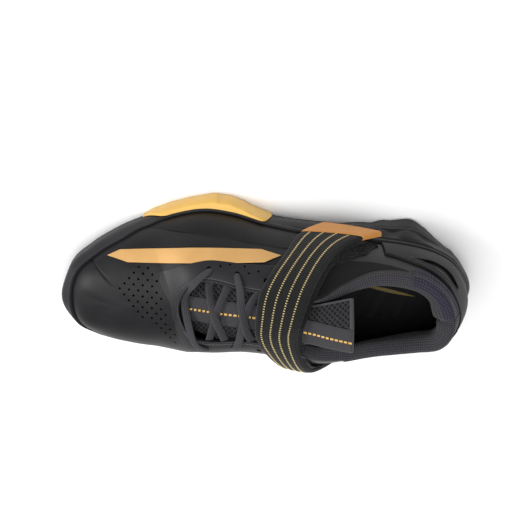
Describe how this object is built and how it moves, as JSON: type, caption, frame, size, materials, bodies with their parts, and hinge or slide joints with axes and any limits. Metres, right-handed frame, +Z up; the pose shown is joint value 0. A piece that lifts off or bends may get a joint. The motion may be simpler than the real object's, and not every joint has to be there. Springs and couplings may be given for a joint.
{
  "type": "weightlifting shoe",
  "caption": "Right weightlifting shoe with a raised wedge heel, a laced throat, a wide instep strap and an outrigger beside the ball, standing empty on its sole",
  "frame": {"origin": "on the floor under the middle of the shoe's bounding box", "axes": "+X towards the toe, +Y towards the medial side, +Z up"},
  "size_m": [0.3014, 0.115, 0.115],
  "materials": {
    "synthetic_leather": "matte coated synthetic leather, fine grain",
    "overlay_leather": "smooth coated synthetic leather",
    "midsole_plastic": "moulded, satin",
    "outsole_rubber": "moulded rubber, matte",
    "outrigger_plastic": "moulded, satin gold-yellow",
    "heel_clip_plastic": "moulded, satin",
    "insole_foam": "knit over foam",
    "tongue_mesh": "open spacer mesh",
    "label_webbing": "woven tape",
    "lace_braid": "flat braid",
    "collar_knit": "ribbed knit over foam",
    "strap_webbing": "woven elastic webbing",
    "strap_tip_plastic": "metallic tan film",
    "landing_fleece": "loop pile"
  },
  "bodies": {
    "root": {"upper": "synthetic_leather", "eyestay": "overlay_leather", "midsole": "midsole_plastic", "outsole": "outsole_rubber", "outrigger": "outrigger_plastic", "heel_clip": "heel_clip_plastic", "insole": "insole_foam", "tongue": "tongue_mesh", "tongue_label": "label_webbing", "lace_bar": "lace_braid", "lace_cross_front": "lace_braid", "lace_cross_rear": "lace_braid", "collar": "collar_knit", "strap": "strap_webbing", "strap_tip": "strap_tip_plastic", "strap_landing": "landing_fleece"}
  },
  "joints": []
}
